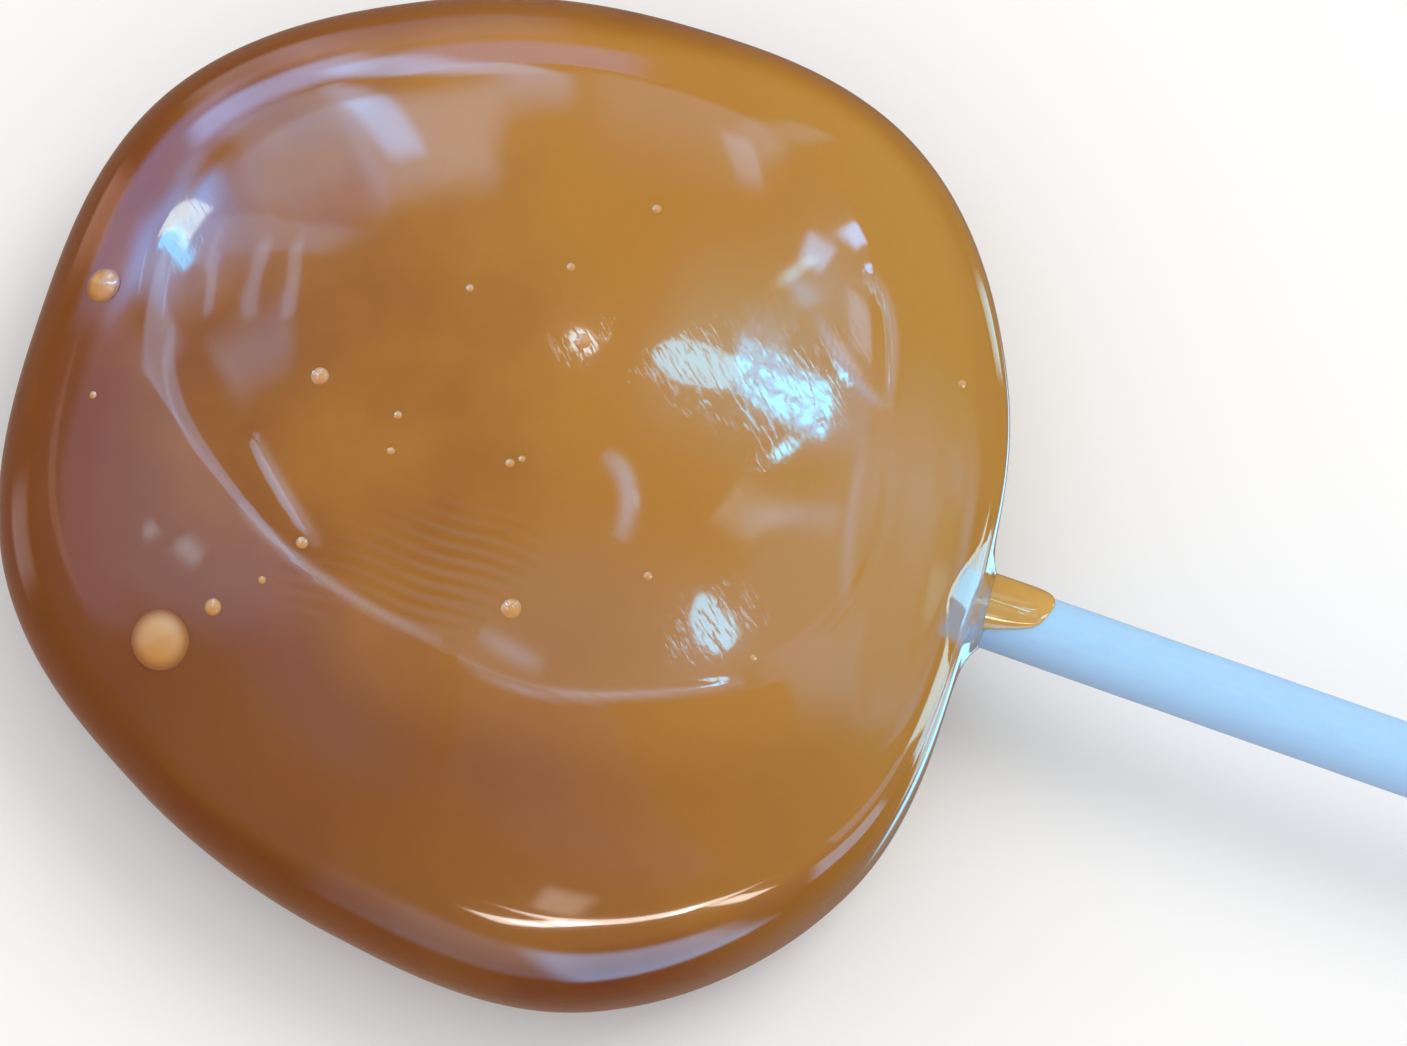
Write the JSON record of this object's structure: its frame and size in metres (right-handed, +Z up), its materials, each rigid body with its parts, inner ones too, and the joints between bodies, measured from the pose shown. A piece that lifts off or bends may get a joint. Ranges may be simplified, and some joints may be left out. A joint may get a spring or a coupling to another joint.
{
  "type": "caramel lollipop",
  "caption": "Thick, rounded, slightly uneven disc of glossy caramel on a straight white paper stick, with a small run of caramel on the stick beside the head.",
  "frame": {"origin": "on the surface that the lollipop lies on, under the stick's centreline, in the flat spot of the head's back", "axes": "+X along the stick, from the head to the stick's free end; +Z up, out of the shown side of the head; +Y completes them"},
  "size_m": [0.1163, 0.0492, 0.0131],
  "materials": {
    "caramel": "glossy, slightly translucent caramel",
    "caramel_run": "thin glossy caramel",
    "stick_paper": null
  },
  "bodies": {
    "root": {"caramel_head": "caramel", "stick": "stick_paper", "stick_drip": "caramel_run"}
  },
  "joints": []
}
